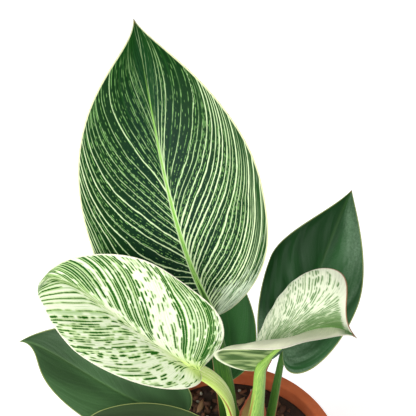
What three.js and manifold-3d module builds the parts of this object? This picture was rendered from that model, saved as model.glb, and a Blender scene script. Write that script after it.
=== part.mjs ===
// Potted birkin philodendron: seven leaves on their stalks round a short stem, in a terracotta pot.
// Millimetres, +Z up. The origin is the centre of the pot's flat base, and -Y is the front.
import * as THREE from 'three';
import { mergeVertices } from 'three/addons/utils/BufferGeometryUtils.js';
import Module from 'manifold-3d';

const wasm = await Module();
wasm.setup();

// Driving dimensions of the pot
const rimRadius = 60;
const potHeight = 108;
const collarHeight = 27;
const collarDrop = 1.5; // the collar is this much narrower at its lower edge
const collarStep = 4.5; // how far the collar stands out from the body
const baseRadius = 40;
const wall = 6;
const floor = 8;
const edgeRound = 1.2;
const floorRound = 3; // height and width of the slope between the wall's inside and the floor
const drainHoles = 3;
const drainRadius = 4.5;
const drainRing = 22; // the drain holes lie on this radius, clear of the centre
const bottomRadius = baseRadius - wall + 1; // of the inside, where the slope round the floor begins

// Driving dimensions of the soil and the stem
const gap = 0.3; // clearance between pieces that touch on the real plant
const soilDepth = 9; // from the rim down to the soil
const soilRough = 0.8; // height of the soil's lumps
const soilTop = potHeight - soilDepth;
const soilRings = 6;
const footDepth = 18; // how deep stem and stalks stand in the soil
const crown = new THREE.Vector2(4, -2); // the stem's axis, a little off the pot's own
const crownRadius = 6;
const crownRise = 12; // the stem's height over the soil
const crownRing = 12; // the stalks' feet stand on this radius round the stem

// Driving dimensions that all leaves share
const bladeThickness = 0.8;
const bladeRows = 20;
const bladeColumns = 4; // on either side of the midrib
const rowCrowding = 1.7; // the power by which the rows crowd towards the stalk along the midrib
const bendSteps = 16; // into which a half is cut to add up its bend
const stalkSides = 10;
const stalkRings = 12;
const sheathShare = 0.4; // a stalk's sheath is widest at this share of its length
const ribRings = 9;
const ribShare = 0.5; // half width and half depth of the rib where it starts, as a share of the stalk's
const ribTip = 0.4; // half width and half depth of the rib where it ends
const stalkEnd = 3; // the stalk's own curve ends this far under the blade
const topDrop = 0.5; // how far a stalk's middle lies under the blade at its top, as a share of its half depth
const ribDrop = 0.9; // the same for the rib, whose upper side stays inside the blade
const stalkHollow = 0.2; // how far a stalk's middle sags below its edges, as a share of its half width
const ribEnd = 0.9; // the rib under the blade ends at this share of the midrib

// Each leaf. Pairs give the left and the right half, seen from the stalk with the upper side up.
//   footAngle     where round the stem the stalk stands, degrees from +X
//   stalkWidth    half widths of the stalk: at the foot, at the sheath, under the blade
//   stalkDepth    half depth of the stalk at the foot and under the blade
//   rise, bend    the two inner control points of the stalk's curve
//   midrib        four control points of the midrib's curve, from the stalk to the tip
//   side          the direction of the right half at the stalk
//   twist         how far the blade turns about its midrib from stalk to tip, degrees
//   width         half widths of the blade
//   widest        where the blade is widest, as a share of its length
//   lobe          how far the base reaches back past the stalk
//   shoulder      how long the blade stays wide towards the tip
//   cusp, slim    length of the drawn-out tip and its half width, as shares of length and half width
//   fold, curl    the angle at which each half rises from the midrib, and how much more at the margin
//   late          1 where that bend is even, and more where it sets in nearer the margin
//   wave, waves   height of the margin's waves and how many
const leaves = [
  {
    name: 'leaf_striped_large', colour: 0x2c5a3a, footAngle: 120,
    stalkWidth: [4.6, 5.2, 3.4], stalkDepth: [2.4, 2.4], rise: [2, 10, 140], bend: [-6, 13, 175],
    midrib: [[-8, 25, 202], [-33, 55, 230], [-38, 88, 287], [-49, 137, 300]],
    side: [1.18, -0.26, -0.22], twist: -3, width: [44, 47.5], widest: [0.38, 0.4], lobe: [8, 2],
    shoulder: [0.65, 0.45], cusp: [0.15, 0.11], slim: [0.1, 0.09],
    fold: [5, 14], curl: [2, 0], late: [1, 1], wave: [0.8, 0.8], waves: 3,
  },
  {
    name: 'leaf_pale_left', colour: 0xdfe6c4, footAngle: -152,
    stalkWidth: [3.6, 3.6, 3.8], stalkDepth: [2.3, 2.4], rise: [6, -1, 140], bend: [4, -6, 185],
    midrib: [[-16, -10, 205], [-60, 11, 217], [-82, 23, 255], [-95, 27, 225]],
    side: [0.28, 0.58, 0.09], twist: 16, width: [26.5, 33.5], widest: [0.52, 0.36], lobe: [7.5, 1],
    shoulder: [0.35, 0.65], cusp: [0.03, 0.24], slim: [0.49, 0.02],
    fold: [3, 14], curl: [-8, 38], late: [3, 1], wave: [0.5, 0.8], waves: 4,
  },
  {
    name: 'leaf_folded_right', colour: 0xd3dfb6, footAngle: -62,
    stalkWidth: [4.4, 6.9, 3.3], stalkDepth: [2.4, 2.8], rise: [10, -13, 140], bend: [13, -15, 190],
    midrib: [[10, -16, 214], [18, -10, 229], [46, -5, 248], [59, -8, 229]],
    side: [-0.52, -0.58, -0.35], twist: 16, width: [33, 33.5], widest: [0.67, 0.32], lobe: [1, 2.5],
    shoulder: [0.85, 0.4], cusp: [0.36, 0.47], slim: [0.02, 0.35],
    fold: [44, 53], curl: [-92, -52], late: [1, 4], wave: [0.6, 0.6], waves: 3,
  },
  {
    name: 'leaf_dark_right', colour: 0x2f5b3f, footAngle: 30,
    stalkWidth: [3.4, 2.6, 1.6], stalkDepth: [2.2, 1.6], rise: [22, 4, 125], bend: [22.5, 10, 168],
    midrib: [[26, 14, 188], [41, 39, 198], [53, 66, 229], [62, 86, 228]],
    side: [0.72, -0.34, -0.6], twist: 26, width: [25.5, 25], widest: [0.46, 0.37], lobe: [16, 10.5],
    shoulder: [0.32, 0.4], cusp: [0.18, 0.07], slim: [0.13, 0.11],
    fold: [8, 6], curl: [-24, 18], late: [1, 1], wave: [0.5, 0.5], waves: 2,
  },
  {
    name: 'leaf_dark_left', colour: 0x345d41, footAngle: 168,
    stalkWidth: [3.2, 2.9, 1.9], stalkDepth: [2.2, 1.8], rise: [-9, -1, 125], bend: [-15, -1, 146],
    midrib: [[-26, -1, 149], [-65, 1, 165], [-97, 26, 185], [-110, 30, 172]],
    side: [0.22, 0.86, 0.45], twist: -12, width: [21.5, 26.5], widest: [0.36, 0.46], lobe: [9, 5.5],
    shoulder: [0.8, 0.55], cusp: [0.24, 0.12], slim: [0.03, 0.08],
    fold: [11, 8], curl: [0, 36], late: [1, 1], wave: [0.5, 0.5], waves: 2,
  },
  {
    name: 'leaf_dark_front', colour: 0x3d5c48, footAngle: -110,
    stalkWidth: [3, 2.7, 1.8], stalkDepth: [2.1, 1.7], rise: [1, -16, 125], bend: [2, -24, 147],
    midrib: [[-8, -22, 150], [-46, -30, 163], [-71, -40, 170], [-88, -62, 152]],
    side: [-0.16, 0.73, 0.37], twist: -3, width: [25, 28], widest: [0.42, 0.53], lobe: [8, 8],
    shoulder: [0.45, 0.4], cusp: [0.2, 0.23], slim: [0.1, 0.08],
    fold: [10, 6], curl: [0, 0], late: [1, 1], wave: [0.5, 0.3], waves: 2,
  },
  {
    name: 'leaf_dark_back', colour: 0x35694a, footAngle: 73,
    stalkWidth: [3, 2.7, 1.8], stalkDepth: [2.1, 1.7], rise: [8, 12, 115], bend: [-1, 22, 130],
    midrib: [[-2, 29, 135], [5, 51, 128], [-5, 87, 161], [-10, 111, 169]],
    side: [0.98, -0.24, 0.3], twist: -4, width: [19.5, 21.5], widest: [0.35, 0.34], lobe: [5, 1],
    shoulder: [0.45, 0.4], cusp: [0.22, 0.21], slim: [0.1, 0.13],
    fold: [8, 33], curl: [9, -6], late: [1, 1], wave: [0.5, 0.5], waves: 2,
  },
];

// The dry sheath of the next leaf: a thin pointed strip that stands between the stem and the folded
// leaf's stalk, with its hollow side to the stalk
const sheath = {
  name: 'new_leaf_sheath', colour: 0x8a4a2c, footAngle: -45, footRing: 7.6,
  rise: [11, -10, 125], bend: [7, -8, 175], tip: [19, -2, 202.5],
  halfWidth: [2, 9, 0.5], halfDepth: [0.7, 0.4], hollow: 0.25,
};

// Solids

// Turns a closed geometry into a solid that can be joined and cut.
function solid(geometry) {
  geometry.deleteAttribute('normal');
  geometry.deleteAttribute('uv');
  const merged = mergeVertices(geometry, 1e-4);
  const index = [];
  for (let i = 0; i < merged.index.count; i += 3) {
    const corner = [0, 1, 2].map((k) => merged.index.getX(i + k));
    if (new Set(corner).size === 3) index.push(...corner);
  }
  const vertProperties = new Float32Array(merged.attributes.position.array);
  return new wasm.Manifold(new wasm.Mesh({ numProp: 3, vertProperties, triVerts: new Uint32Array(index) }));
}

// Turns a solid into a named mesh of its own material.
function piece(name, body, material) {
  const cut = body.getMesh();
  const geometry = new THREE.BufferGeometry();
  geometry.setAttribute('position', new THREE.BufferAttribute(new Float32Array(cut.vertProperties), 3));
  geometry.setIndex(new THREE.BufferAttribute(new Uint32Array(cut.triVerts), 1));
  geometry.computeVertexNormals();
  const mesh = new THREE.Mesh(geometry, material);
  mesh.name = name;
  return mesh;
}

// Stands a profile of [radius, height] pairs up round the Z axis.
function turned(profile, segments) {
  const points = profile.map(([radius, height]) => new THREE.Vector2(radius, height));
  return new THREE.LatheGeometry(points, segments).rotateX(Math.PI / 2);
}

// Closes a stack of rings of points into a tube with flat ends. Seen along the stack, each ring runs
// anticlockwise.
function lofted(rings) {
  const sides = rings[0].length;
  const points = rings.flat();
  const index = [];
  for (let ring = 0; ring < rings.length - 1; ring++) {
    for (let side = 0; side < sides; side++) {
      const a = ring * sides + side;
      const b = ring * sides + (side + 1) % sides;
      index.push(a, a + sides, b, b, a + sides, b + sides);
    }
  }
  for (const [ring, outward] of [[0, false], [rings.length - 1, true]]) {
    const centre = points.length;
    points.push(rings[ring].reduce((sum, p) => sum.add(p), new THREE.Vector3()).divideScalar(sides));
    for (let side = 0; side < sides; side++) {
      const a = ring * sides + side;
      const b = ring * sides + (side + 1) % sides;
      index.push(...(outward ? [centre, b, a] : [centre, a, b]));
    }
  }
  return new THREE.BufferGeometry().setFromPoints(points).setIndex(index);
}

// A point at soil level, by its direction and distance from the stem's axis
function onCrown(degrees, radius) {
  const turn = radians(degrees);
  return new THREE.Vector3(crown.x + radius * Math.cos(turn), crown.y + radius * Math.sin(turn), soilTop);
}

const vector = (p) => new THREE.Vector3(...p);
const curve = (...points) => new THREE.CubicBezierCurve3(...points);
const radians = THREE.MathUtils.degToRad;

// The blade

// One half of the leaf's outline, flat: two cubic curves, from the stalk round the base lobe to the
// widest point, and on to the tip. Share runs from 0 at the stalk to 1 at the tip.
const baseShare = 0.4;

function outline(leaf, half, length, share) {
  const width = leaf.width[half];
  const lobe = leaf.lobe[half];
  const widest = leaf.widest[half] * length;
  const rest = length - widest;
  const flat = (x, y) => new THREE.Vector2(x, y);
  if (share < baseShare) {
    const shoulder = widest - 0.8 * leaf.shoulder[half] * length - 0.6 * lobe;
    return new THREE.CubicBezierCurve(
      flat(0, 0), flat(-1.8 * lobe, 0.3 * width), flat(shoulder, width), flat(widest, width),
    ).getPoint(share / baseShare);
  }
  return new THREE.CubicBezierCurve(
    flat(widest, width), flat(widest + leaf.shoulder[half] * rest, width),
    flat(length - leaf.cusp[half] * length, leaf.slim[half] * width), flat(length, 0),
  ).getPoint((share - baseShare) / (1 - baseShare));
}

// The midrib's point, its direction, the direction of the right half and the upper side there.
// Along is the distance from the stalk, which may lie behind it in a base lobe.
function bladeFrame(leaf, along) {
  const length = leaf.midribCurve.getLength();
  const share = THREE.MathUtils.clamp(along / length, 0, 1);
  const point = leaf.midribCurve.getPointAt(share);
  const forward = leaf.midribCurve.getTangentAt(share);
  point.addScaledVector(forward, along - share * length);
  const side = vector(leaf.side);
  side.addScaledVector(forward, -side.dot(forward)).normalize();
  side.applyAxisAngle(forward, -radians(leaf.twist * share));
  const up = new THREE.Vector3().crossVectors(side, forward);
  return { point, forward, side, up };
}

// How far a point this far from the midrib lies out and up, once its half is bent
function bent(leaf, half, across) {
  const step = across / bendSteps;
  let [reach, rise] = [0, 0];
  for (let i = 0; i < bendSteps; i++) {
    const share = ((i + 0.5) * step) / leaf.width[half];
    const angle = radians(leaf.fold[half] + leaf.curl[half] * share ** leaf.late[half]);
    reach += step * Math.cos(angle);
    rise += step * Math.sin(angle);
  }
  return { reach, rise };
}

// A point of the blade: the row goes from the midrib to the margin, and the margin is waved.
function bladePoint(leaf, row, column) {
  const half = column < 0 ? 0 : 1;
  const share = row / bladeRows;
  const out = Math.abs(column) / bladeColumns;
  const length = leaf.midribCurve.getLength();
  const margin = outline(leaf, half, length, share);
  const start = length * share ** rowCrowding;
  const along = THREE.MathUtils.lerp(start, margin.x, out);
  const across = margin.y * out;
  const { reach, rise } = bent(leaf, half, across);
  const ripple = Math.sin(2 * Math.PI * leaf.waves * share + half);
  const wave = leaf.wave[half] * out * out * (across / leaf.width[half]) * ripple;
  const { point, side, up } = bladeFrame(leaf, along);
  return point.addScaledVector(side, half ? reach : -reach).addScaledVector(up, rise + wave);
}

// The blade as a closed sheet. Both faces are split along the same diagonals.
function bladeGeometry(leaf) {
  const columns = 2 * bladeColumns + 1;
  const middle = [];
  for (let row = 0; row <= bladeRows; row++) {
    for (let column = -bladeColumns; column <= bladeColumns; column++) {
      middle.push(bladePoint(leaf, row, column));
    }
  }
  const faces = [];
  for (let row = 0; row < bladeRows; row++) {
    for (let column = 0; column < columns - 1; column++) {
      const a = row * columns + column;
      const b = a + columns;
      if (row > 0) faces.push([a, a + 1, b + 1]);
      if (row < bladeRows - 1) faces.push([a, b + 1, b]);
    }
  }
  const pole = (i) => (i < columns ? 0 : i >= bladeRows * columns ? bladeRows * columns : i);
  const corners = faces.map((face) => face.map(pole));
  const normals = middle.map(() => new THREE.Vector3());
  for (const [a, b, c] of corners) {
    const normal = middle[b].clone().sub(middle[a]).cross(middle[c].clone().sub(middle[a]));
    for (const corner of [a, b, c]) normals[corner].add(normal);
  }
  const shifted = (amount) => middle.map((p, i) => p.clone().addScaledVector(normals[i].normalize(), amount));
  const points = [...shifted(bladeThickness / 2), ...shifted(-bladeThickness / 2)];
  const under = middle.length;
  const index = corners.flatMap(([a, b, c]) => [a, b, c, under + a, under + c, under + b]);
  for (let row = 0; row < bladeRows; row++) {
    for (const [column, right] of [[0, false], [columns - 1, true]]) {
      const a = pole(row * columns + column);
      const b = pole((row + 1) * columns + column);
      const edge = [a, under + a, b, b, under + a, under + b];
      index.push(...(right ? edge : edge.reverse()));
    }
  }
  return new THREE.BufferGeometry().setFromPoints(points).setIndex(index);
}

// The stalk, with its sheath at the foot, and the rib that it becomes under the blade

// A ring round the stalk: an ellipse whose middle sags below its two edges by a share of its width.
function stalkRing(centre, across, up, halfWidth, halfDepth, hollow) {
  const ring = [];
  for (let side = 0; side < stalkSides; side++) {
    const angle = (2 * Math.PI * side) / stalkSides;
    const sag = hollow * halfWidth * Math.sin(angle) ** 2;
    ring.push(centre.clone()
      .addScaledVector(across, halfWidth * Math.cos(angle))
      .addScaledVector(up, halfDepth * Math.sin(angle) - sag));
  }
  return ring;
}

// Half width at a share of a stalk's length, from those at its foot, its sheath and its top
function swelling([foot, middle, top], share) {
  const swell = THREE.MathUtils.smoothstep(share, 0, sheathShare);
  const slim = THREE.MathUtils.smoothstep(share, sheathShare, 1);
  return foot + (middle - foot) * swell + (top - middle) * slim;
}

function stalkGeometry(leaf) {
  const rings = [];
  const foot = leaf.footPoint;
  const footAcross = new THREE.Vector3(-Math.sin(leaf.footTurn), Math.cos(leaf.footTurn), 0).negate();
  const [footWidth, , topWidth] = leaf.stalkWidth;
  const [footDepthHalf, topDepth] = leaf.stalkDepth;
  const top = bladeFrame(leaf, stalkEnd);
  const footUp = new THREE.Vector3(-Math.cos(leaf.footTurn), -Math.sin(leaf.footTurn), 0);
  const end = foot.clone().setZ(soilTop - footDepth);
  rings.push(stalkRing(end, footAcross, footUp, footWidth, footDepthHalf, 0));
  for (let ring = 0; ring <= stalkRings; ring++) {
    const share = ring / stalkRings;
    const centre = leaf.stalkCurve.getPointAt(share);
    const forward = ring === stalkRings
      ? leaf.stalkCurve.getTangentAt(1).add(top.forward).normalize()
      : leaf.stalkCurve.getTangentAt(share);
    const across = footAcross.clone().lerp(top.side, share);
    across.addScaledVector(forward, -across.dot(forward)).normalize();
    const up = new THREE.Vector3().crossVectors(across, forward);
    const halfWidth = swelling(leaf.stalkWidth, share);
    const halfDepth = THREE.MathUtils.lerp(footDepthHalf, topDepth, share);
    rings.push(stalkRing(centre, across, up, halfWidth, halfDepth, stalkHollow * Math.min(4 * share, 1)));
  }
  const length = leaf.midribCurve.getLength();
  for (let ring = 1; ring <= ribRings; ring++) {
    const share = ring / ribRings;
    const along = THREE.MathUtils.lerp(stalkEnd, ribEnd * length, share);
    const { point, side, up } = bladeFrame(leaf, along);
    const halfWidth = ribShare * topWidth * (1 - share) + ribTip;
    const halfDepth = ribShare * topDepth * (1 - share) + ribTip;
    rings.push(stalkRing(point.addScaledVector(up, -ribDrop * halfDepth), side, up, halfWidth, halfDepth, 0));
  }
  return lofted(rings);
}

// A round or oval hole in the soil, as wide as the foot that stands in it and a gap more
function plainHole(centre, turn, halfWidth, halfDepth) {
  const height = footDepth + gap + soilDepth;
  const hole = new THREE.CylinderGeometry(1, 1, height, stalkSides).rotateX(Math.PI / 2);
  hole.rotateZ(Math.PI / stalkSides);
  const clear = (half) => (half + gap) / Math.cos(Math.PI / stalkSides);
  hole.scale(clear(halfWidth), clear(halfDepth), 1).rotateZ(turn);
  return solid(hole.translate(centre.x, centre.y, soilTop - footDepth - gap + height / 2));
}

// The parts

function makePot() {
  const collarLow = potHeight - collarHeight;
  const bodyTop = rimRadius - collarDrop - collarStep;
  const inner = rimRadius - wall;
  const r = edgeRound;
  const middle = 0.3 * r; // how far the middle of a rounded edge lies inside both its faces
  const profile = [
    [0, 0], [baseRadius - r, 0], [baseRadius, r], [bodyTop, collarLow],
    [rimRadius - collarDrop - r, collarLow], [rimRadius - collarDrop, collarLow + r],
    [rimRadius, potHeight - r], [rimRadius - middle, potHeight - middle], [rimRadius - r, potHeight],
    [inner + r, potHeight], [inner + middle, potHeight - middle], [inner, potHeight - r],
    [inner - collarDrop, collarLow], [bottomRadius, floor + floorRound], [bottomRadius - floorRound, floor],
    [0, floor],
  ];
  let body = solid(turned(profile, 48));
  for (let hole = 0; hole < drainHoles; hole++) {
    const angle = (2 * Math.PI * hole) / drainHoles + Math.PI / 6;
    const drain = new THREE.CylinderGeometry(drainRadius, drainRadius, 3 * floor, 16).rotateX(Math.PI / 2);
    drain.translate(drainRing * Math.cos(angle), drainRing * Math.sin(angle), 0);
    body = body.subtract(solid(drain));
  }
  const material = new THREE.MeshStandardMaterial({ color: 0xb9663f, roughness: 0.85, metalness: 0 });
  return piece('pot', body, material);
}

// Radius of the pot's inside at a height above the slope round its floor
function innerRadius(height) {
  const low = [bottomRadius, floor + floorRound];
  const high = [rimRadius - wall - collarDrop, potHeight - collarHeight];
  const top = [rimRadius - wall, potHeight - edgeRound];
  const [a, b] = height < high[1] ? [low, high] : [high, top];
  return THREE.MathUtils.mapLinear(height, a[1], b[1], a[0], b[0]);
}

// The soil fills the pot, and its top lies in low lumps given by two crossing waves.
function makeSoil(holes) {
  const bottom = floor + floorRound + gap;
  const knee = potHeight - collarHeight;
  const profile = [[0, bottom], [innerRadius(bottom) - gap, bottom], [innerRadius(knee) - gap, knee]];
  for (let ring = soilRings; ring >= 0; ring--) {
    profile.push([(innerRadius(soilTop) - gap) * (ring / soilRings), soilTop]);
  }
  const geometry = turned(profile, 30);
  const position = geometry.attributes.position;
  for (let i = 0; i < position.count; i++) {
    const [x, y, z] = [position.getX(i), position.getY(i), position.getZ(i)];
    const edge = 1 - (Math.hypot(x, y) / innerRadius(soilTop)) ** 6;
    const lump = soilRough * edge * Math.sin(0.35 * x + 1) * Math.sin(0.4 * y);
    if (z > soilTop - 0.01) position.setZ(i, z + lump);
  }
  let body = solid(geometry);
  for (const hole of holes) body = body.subtract(hole);
  const material = new THREE.MeshStandardMaterial({ color: 0x36261b, roughness: 1, metalness: 0 });
  return piece('soil', body, material);
}

// The stem: short, ringed by the scars of old leaves and rounded at the top. Each scar is a pair of its
// share of the stem's radius and its height over the soil.
function makeStem() {
  const scars = [[1, 2], [0.92, 3], [1, 4.5], [0.93, 6], [0.98, 8], [0.75, 10.5]];
  const profile = [[0, soilTop - footDepth], [crownRadius, soilTop - footDepth]];
  for (const [share, height] of scars) profile.push([crownRadius * share, soilTop + height]);
  profile.push([0, soilTop + crownRise]);
  const body = solid(turned(profile, 18).translate(crown.x, crown.y, 0));
  const material = new THREE.MeshStandardMaterial({ color: 0x7d8a4b, roughness: 0.7, metalness: 0 });
  return piece('stem', body, material);
}

function makeLeaf(leaf) {
  const body = solid(stalkGeometry(leaf)).add(solid(bladeGeometry(leaf)));
  const material = new THREE.MeshStandardMaterial({ color: leaf.colour, roughness: 0.45, metalness: 0 });
  return piece(leaf.name, body, material);
}

function makeSheath() {
  const foot = onCrown(sheath.footAngle, sheath.footRing);
  const line = curve(foot, vector(sheath.rise), vector(sheath.bend), vector(sheath.tip));
  const turn = radians(sheath.footAngle);
  const footAcross = new THREE.Vector3(-Math.sin(turn), Math.cos(turn), 0);
  const rings = [];
  for (let ring = -1; ring <= stalkRings; ring++) {
    const share = Math.max(ring, 0) / stalkRings;
    const centre = line.getPointAt(share);
    if (ring < 0) centre.z -= footDepth;
    const forward = ring > 0 ? line.getTangentAt(share) : new THREE.Vector3(0, 0, 1);
    const across = footAcross.clone().lerp(new THREE.Vector3(1, 0, 0), Math.min(2 * share, 1));
    across.addScaledVector(forward, -across.dot(forward)).normalize();
    const up = new THREE.Vector3().crossVectors(across, forward);
    const halfDepth = THREE.MathUtils.lerp(...sheath.halfDepth, share);
    const hollow = sheath.hollow * Math.min(4 * share, 1);
    rings.push(stalkRing(centre, across, up, swelling(sheath.halfWidth, share), halfDepth, hollow));
  }
  const material = new THREE.MeshStandardMaterial({ color: sheath.colour, roughness: 0.7, metalness: 0 });
  return piece(sheath.name, solid(lofted(rings)), material);
}

// Works out where each leaf stands, and the curves of its stalk and midrib.
function place(leaf) {
  const turn = radians(leaf.footAngle);
  const footPoint = onCrown(leaf.footAngle, crownRing);
  const midribCurve = curve(...leaf.midrib.map(vector));
  const { point, up } = bladeFrame({ ...leaf, midribCurve }, stalkEnd);
  const top = point.addScaledVector(up, -topDrop * leaf.stalkDepth[1]);
  const stalkCurve = curve(footPoint, vector(leaf.rise), vector(leaf.bend), top);
  return { ...leaf, footTurn: turn, footPoint, midribCurve, stalkCurve };
}

const placed = leaves.map(place);
const holes = placed.map((leaf) => (
  plainHole(leaf.footPoint, leaf.footTurn + Math.PI / 2, leaf.stalkWidth[0], leaf.stalkDepth[0])));
holes.push(plainHole(onCrown(sheath.footAngle, sheath.footRing), radians(sheath.footAngle) + Math.PI / 2,
  sheath.halfWidth[0], sheath.halfDepth[0]));
holes.push(plainHole(crown, 0, crownRadius, crownRadius));

const plant = new THREE.Group();
plant.add(makePot(), makeSoil(holes), makeStem(), ...placed.map(makeLeaf), makeSheath());

export default plant;
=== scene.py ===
"""Potted birkin philodendron: the leaves, stalks, soil and clay pot as they look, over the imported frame.

Shapes are worked out in millimetres in the frame's axes and become metres when a mesh is made.
"""
import math

import bpy
import numpy as np
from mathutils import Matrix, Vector


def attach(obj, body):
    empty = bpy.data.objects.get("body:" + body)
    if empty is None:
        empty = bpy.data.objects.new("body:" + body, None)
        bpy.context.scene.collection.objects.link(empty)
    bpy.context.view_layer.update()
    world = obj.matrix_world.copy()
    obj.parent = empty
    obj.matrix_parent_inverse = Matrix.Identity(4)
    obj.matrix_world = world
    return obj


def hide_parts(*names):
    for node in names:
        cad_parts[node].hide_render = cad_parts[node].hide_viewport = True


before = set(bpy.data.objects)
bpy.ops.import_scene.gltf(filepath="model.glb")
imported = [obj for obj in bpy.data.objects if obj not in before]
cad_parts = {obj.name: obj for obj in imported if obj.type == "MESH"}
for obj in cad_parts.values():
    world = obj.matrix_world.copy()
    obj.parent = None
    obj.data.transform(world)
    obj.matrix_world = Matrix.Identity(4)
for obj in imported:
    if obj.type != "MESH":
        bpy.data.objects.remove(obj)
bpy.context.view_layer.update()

MM = 0.001

# The pot, as the frame has it
RIM_RADIUS = 60
POT_HEIGHT = 108
COLLAR_HEIGHT = 27
COLLAR_LOW = POT_HEIGHT - COLLAR_HEIGHT
COLLAR_DROP = 1.5  # the collar is this much narrower at its lower edge
COLLAR_STEP = 4.5  # how far the collar stands out from the body
BASE_RADIUS = 40
WALL = 6
FLOOR = 8
FLOOR_ROUND = 3  # height of the slope between the wall's inside and the floor
DRAIN_HOLES = 3
DRAIN_RADIUS = 4.5
DRAIN_RING = 22
CORNER_ROUND = 1.6
POLE_RADIUS = 0.5  # of the small ring round the axis at which the pot's profile starts and ends
POT_SEGMENTS = 192
WOBBLE = 0.12  # how far the clay wall wanders in and out

# The soil and the stem, as the frame has them
GAP = 0.3  # between the soil and the pot
SOIL_TOP = POT_HEIGHT - 9
SOIL_SEGMENTS = 200
CRUMBS = 1100
PERLITE_SHARE = 0.12  # of the crumbs
CHIPS_FROM = 0.95  # crumbs drawn above this are tan chips
FOOT_DEPTH = 18  # how deep stem and stalks stand in the soil
CROWN = np.array([4.0, -2.0, SOIL_TOP])
CROWN_RADIUS = 6
CROWN_RISE = 12
CROWN_RING = 12  # the stalks' feet stand on this radius round the stem

# What all leaves share
STALK_END = 3  # the stalk's own curve ends this far along the blade
STALK_SIDES = 32
SHEATH_SHARE = 0.4  # a stalk's sheath is widest at this share of its length
STALK_HOLLOW = 0.2  # how far a stalk's middle sags below its edges, as a share of its half width
TOP_DROP = 0.5  # how far a stalk's middle lies under the blade at its top, as a share of its half depth
RIB_DROP = 0.95  # the same for the rib
RIB_END = 0.9  # the rib under the blade ends at this share of the midrib
RIB_WIDTH = 0.24  # half width of the rib where it starts, as a share of the stalk's
RIB_DEPTH = 0.4  # the same for its half depth
RIB_TIP = 0.35  # half width and half depth of the rib where it ends
BEND_PASSES = 8  # averages that ease a stalk's bend into its blade
BURIED = -0.1  # what the field "height" says at a stalk's foot in the soil
BASE_SHARE = 0.4  # the base lobe takes this share of a half's margin
ROW_CROWDING = 1.7  # the power by which the rows crowd towards the stalk along the midrib
COLUMN_CROWDING = 1.25  # the same for the columns towards the midrib
LAST_STEP = 0.99  # the share of a row at which its last short step begins
BEND_STEPS = 16  # into which a half is cut to add up its bend
BLADE_HALF = 0.36  # half the thickness of a blade
MARGIN_HALF = 0.12  # the same at its margin
MARGIN_ROUND = 2.5  # the blade thins over this distance
VEIN_REACH = 0.06  # share of the way out within which a vein makes its quick step
CLIMB_FROM = 0.55  # share of the midrib past which veins climb more
VEIN_HALVINGS = 26
SPREADS = (5, 300)  # least and most millimetres per unit of vein

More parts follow.
